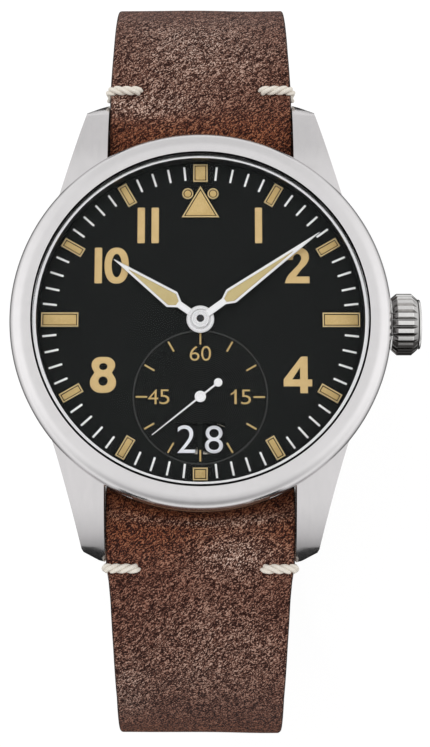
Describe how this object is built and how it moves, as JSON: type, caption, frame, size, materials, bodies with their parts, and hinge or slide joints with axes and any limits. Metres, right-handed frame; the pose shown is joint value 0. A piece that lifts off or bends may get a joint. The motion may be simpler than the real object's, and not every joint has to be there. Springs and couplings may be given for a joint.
{
  "type": "pilot watch",
  "caption": "Round steel pilot watch with black dial, tan numerals, small seconds, big date, side crown and open brown leather strap with pin buckle.",
  "frame": {"origin": "centre of the case back's outer flat face", "axes": "+X to the crown, +Y to 12 o'clock, +Z out through the dial"},
  "size_m": [0.0435, 0.0827, 0.0593],
  "materials": {
    "case_steel": "satin to polished stainless steel",
    "bezel_steel": "polished stainless steel",
    "rehaut_steel": "bright turned steel",
    "crystal_glass": "clear domed sapphire",
    "seal_rubber": "black seal",
    "screw_steel": "turned steel",
    "dial_black": "matte black lacquer",
    "marker_frame": "gilt frames",
    "lume_tan": "aged tan luminous paint",
    "print_tan": "tan print",
    "print_white": "white print",
    "hand_steel": "bright faceted hands",
    "ring_plastic": "moulded plastic",
    "plate_nickel": "nickel plated brass",
    "board_green": "circuit board",
    "chip_black": "potted chip",
    "can_steel": "drawn metal",
    "coil_copper": "enamelled copper wire",
    "core_iron": "soft iron",
    "wheel_brass": "cut brass",
    "strap_leather": "waxed brown leather",
    "thread_cream": "waxed linen thread",
    "buckle_steel": "satin steel"
  },
  "bodies": {
    "case": {"case_middle": "case_steel", "bezel": "bezel_steel", "crystal": "crystal_glass", "crystal_gasket": "seal_rubber", "rehaut_ring": "rehaut_steel", "crown_tube": "case_steel", "case_back": "case_steel", "case_back_gasket": "seal_rubber", "case_back_screws": "screw_steel", "dial": "dial_black", "hour_markers": "marker_frame", "marker_lume": "lume_tan", "numerals": "lume_tan", "minute_track": "print_white", "subdial_scale": "print_tan", "movement_ring": "ring_plastic", "main_plate": "plate_nickel", "train_bridge": "plate_nickel", "bridge_screws": "screw_steel", "circuit_board": "board_green", "quartz_can": "can_steel", "chip": "chip_black", "coil": "coil_copper", "coil_core": "core_iron", "stator": "core_iron", "battery": "can_steel", "battery_clip": "can_steel", "spring_bars": "screw_steel"},
    "strap_upper_half": {"strap_upper": "strap_leather", "bar_tacks_upper": "thread_cream", "keeper_fixed": "strap_leather"},
    "strap_lower_half": {"strap_lower": "strap_leather", "bar_tacks_lower": "thread_cream"},
    "loose_keeper": {"keeper_sliding": "strap_leather"},
    "buckle": {"buckle_frame": "buckle_steel", "buckle_bar": "buckle_steel"},
    "tongue": {"buckle_tongue": "buckle_steel"},
    "crown_slider": {"crown_seal": "seal_rubber"},
    "crown_turner": {"crown": "bezel_steel", "winding_stem": "screw_steel"},
    "lever": {"setting_lever": "screw_steel"},
    "minute": {"cannon_pinion": "wheel_brass", "minute_hand": "hand_steel", "minute_hand_lume": "lume_tan"},
    "hour": {"hour_wheel": "wheel_brass", "hour_hand": "hand_steel", "hour_hand_lume": "lume_tan"},
    "minute_train": {"minute_wheel": "wheel_brass"},
    "seconds": {"fourth_wheel": "wheel_brass", "seconds_hand": "hand_steel"},
    "third": {"third_wheel": "wheel_brass"},
    "centre": {"centre_wheel": "wheel_brass"},
    "fifth": {"fifth_wheel": "wheel_brass"},
    "rotor_body": {"rotor": "core_iron"},
    "date_units": {"date_units_ring": "dial_black"},
    "date_tens": {"date_tens_disc": "dial_black"}
  },
  "joints": [
    {"name": "strap_upper_swing", "type": "hinge", "parent": "case", "child": "strap_upper_half", "pos_m": [0, 0.022, 0.0016], "axis": [1, 0, 0], "range_deg": [-20, 60]},
    {"name": "strap_lower_swing", "type": "hinge", "parent": "case", "child": "strap_lower_half", "pos_m": [0, -0.022, 0.0016], "axis": [-1, 0, 0], "range_deg": [-3, 60]},
    {"name": "keeper_slide", "type": "slide", "parent": "strap_upper_half", "child": "loose_keeper", "axis": [0, 1, 0], "range_m": [-0.003, 0.006]},
    {"name": "buckle_swing", "type": "hinge", "parent": "strap_upper_half", "child": "buckle", "pos_m": [0, -0.00399, -0.02632], "axis": [1, 0, 0], "range_deg": [-80, 25]},
    {"name": "tongue_swing", "type": "hinge", "parent": "buckle", "child": "tongue", "pos_m": [0, -0.00399, -0.02632], "axis": [1, 0, 0], "range_deg": [0, 85]},
    {"name": "crown_pull", "type": "slide", "parent": "case", "child": "crown_slider", "axis": [1, 0, 0], "range_m": [0, 0.0016]},
    {"name": "crown_turn", "type": "hinge", "parent": "crown_slider", "child": "crown_turner", "pos_m": [0.0215, 0, 0.0043], "axis": [1, 0, 0], "continuous": true},
    {"name": "lever_turn", "type": "hinge", "parent": "case", "child": "lever", "pos_m": [0.0128, -0.00453, 0.0033], "axis": [0, 0, 1], "range_deg": [-20.5, 0.5]},
    {"name": "minute_turn", "type": "hinge", "parent": "case", "child": "minute", "pos_m": [0, 0, 0.007], "axis": [0, 0, -1], "continuous": true},
    {"name": "hour_turn", "type": "hinge", "parent": "case", "child": "hour", "pos_m": [0, 0, 0.007], "axis": [0, 0, -1], "continuous": true},
    {"name": "minute_wheel_turn", "type": "hinge", "parent": "case", "child": "minute_train", "pos_m": [-0.00212, 0.00212, 0.0054], "axis": [0, 0, -1], "continuous": true},
    {"name": "seconds_turn", "type": "hinge", "parent": "case", "child": "seconds", "pos_m": [0, -0.00822, 0.0068], "axis": [0, 0, -1], "continuous": true},
    {"name": "third_turn", "type": "hinge", "parent": "case", "child": "third", "pos_m": [0.00086, -0.00423, 0.0034], "axis": [0, 0, -1], "continuous": true},
    {"name": "centre_turn", "type": "hinge", "parent": "case", "child": "centre", "pos_m": [0, 0, 0.0037], "axis": [0, 0, -1], "continuous": true},
    {"name": "fifth_turn", "type": "hinge", "parent": "case", "child": "fifth", "pos_m": [-0.00271, -0.0092, 0.003], "axis": [0, 0, -1], "continuous": true},
    {"name": "rotor_turn", "type": "hinge", "parent": "case", "child": "rotor_body", "pos_m": [-0.00546, -0.00872, 0.003], "axis": [0, 0, -1], "continuous": true},
    {"name": "date_units_turn", "type": "hinge", "parent": "case", "child": "date_units", "pos_m": [0.0036, -0.0073, 0.00576], "axis": [0, 0, -1], "continuous": true},
    {"name": "date_tens_turn", "type": "hinge", "parent": "case", "child": "date_tens", "pos_m": [-0.00415, -0.0125, 0.00602], "axis": [0, 0, -1], "continuous": true}
  ],
  "couplings": [
    {"joint": "lever_turn", "follows": "crown_pull", "rad_per_m": -218.17},
    {"joint": "hour_turn", "follows": "minute_turn", "ratio": 0.083333},
    {"joint": "minute_wheel_turn", "follows": "minute_turn", "ratio": -0.33333},
    {"joint": "third_turn", "follows": "seconds_turn", "ratio": -0.13333},
    {"joint": "centre_turn", "follows": "seconds_turn", "ratio": 0.016667},
    {"joint": "fifth_turn", "follows": "seconds_turn", "ratio": -5},
    {"joint": "rotor_turn", "follows": "seconds_turn", "ratio": 30}
  ]
}
